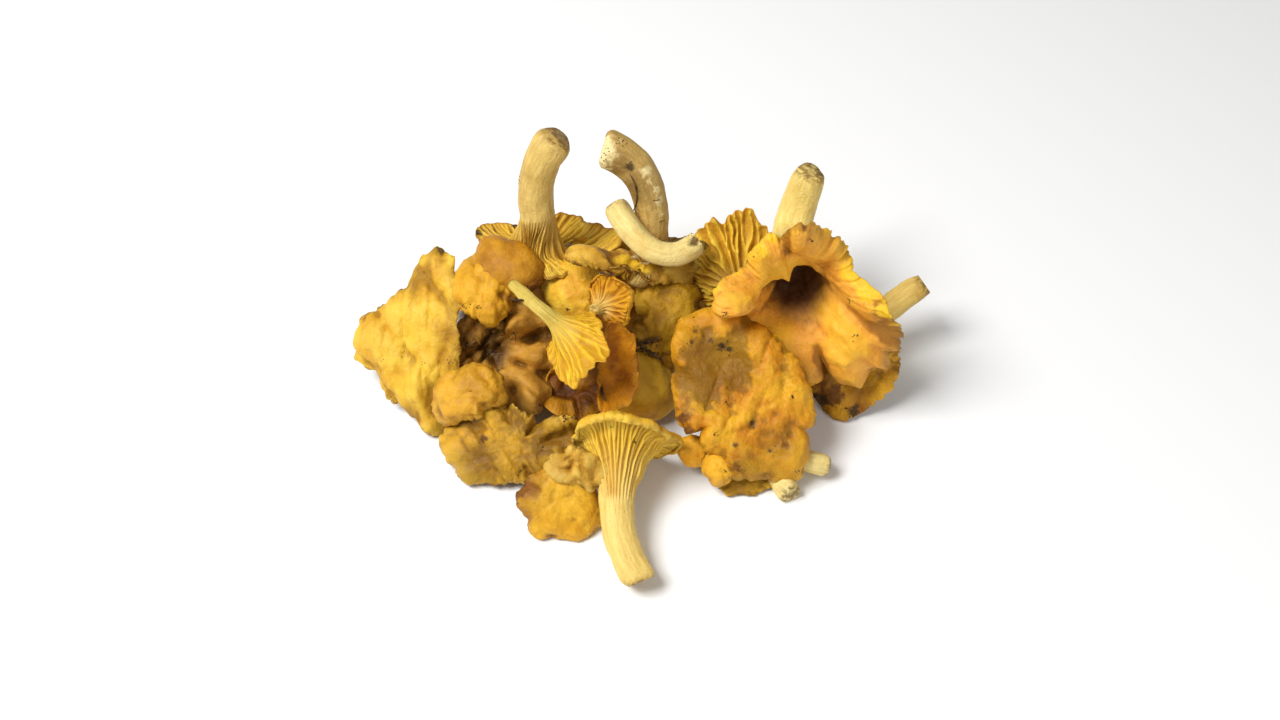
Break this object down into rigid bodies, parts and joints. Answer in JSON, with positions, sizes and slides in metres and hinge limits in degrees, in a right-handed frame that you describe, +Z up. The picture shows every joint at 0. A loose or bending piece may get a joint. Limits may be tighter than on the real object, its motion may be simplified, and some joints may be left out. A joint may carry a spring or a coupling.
{
  "type": "heap of chanterelle mushrooms",
  "caption": "Loose heap of picked chanterelle mushrooms with wavy funnel caps, ridged undersides and cut stems, lying on a flat surface.",
  "frame": {"origin": "middle of the heap's box, at the level of the surface it lies on", "axes": "+X along the heap's length, to the right as seen from its front; +Y to its back; +Z up"},
  "size_m": [0.2468, 0.175, 0.1052],
  "materials": {
    "lemon_flesh": "matte, ripe yellow skin",
    "golden_flesh": "matte, golden yellow skin",
    "peach_flesh": "matte, soft orange skin",
    "orange_flesh": "matte, deep orange skin",
    "ochre_flesh": "matte, brownish yellow skin",
    "olive_flesh": "matte, olive yellow skin",
    "brown_flesh": "matte, bruised brown skin",
    "cream_flesh": "matte, pale cut stem"
  },
  "bodies": {
    "root": {"front_ridged": "lemon_flesh", "funnel": "peach_flesh", "back_ridged": "lemon_flesh", "right_broad": "golden_flesh", "left_broad": "lemon_flesh", "trumpet": "lemon_flesh", "small_fan": "golden_flesh", "curled_stem": "cream_flesh", "frayed_cap": "lemon_flesh", "brown_stem": "ochre_flesh", "left_back": "orange_flesh", "upside_down": "lemon_flesh", "left_lobe": "golden_flesh", "small_band": "ochre_flesh", "hollow_brown": "brown_flesh", "pale_button": "lemon_flesh", "rolled_edge": "ochre_flesh", "torn_mid": "ochre_flesh", "tall_fold": "orange_flesh", "olive_dome": "olive_flesh", "olive_low": "olive_flesh", "under_funnel": "golden_flesh", "button_a": "ochre_flesh", "button_b": "ochre_flesh", "stub_right": "cream_flesh", "stub_front": "cream_flesh", "under_right": "olive_flesh", "lower_scrap": "ochre_flesh", "lower_left": "ochre_flesh", "lower_dome": "golden_flesh", "core_orange": "orange_flesh", "back_left": "golden_flesh", "back_middle": "golden_flesh", "back_right": "golden_flesh"}
  },
  "joints": []
}
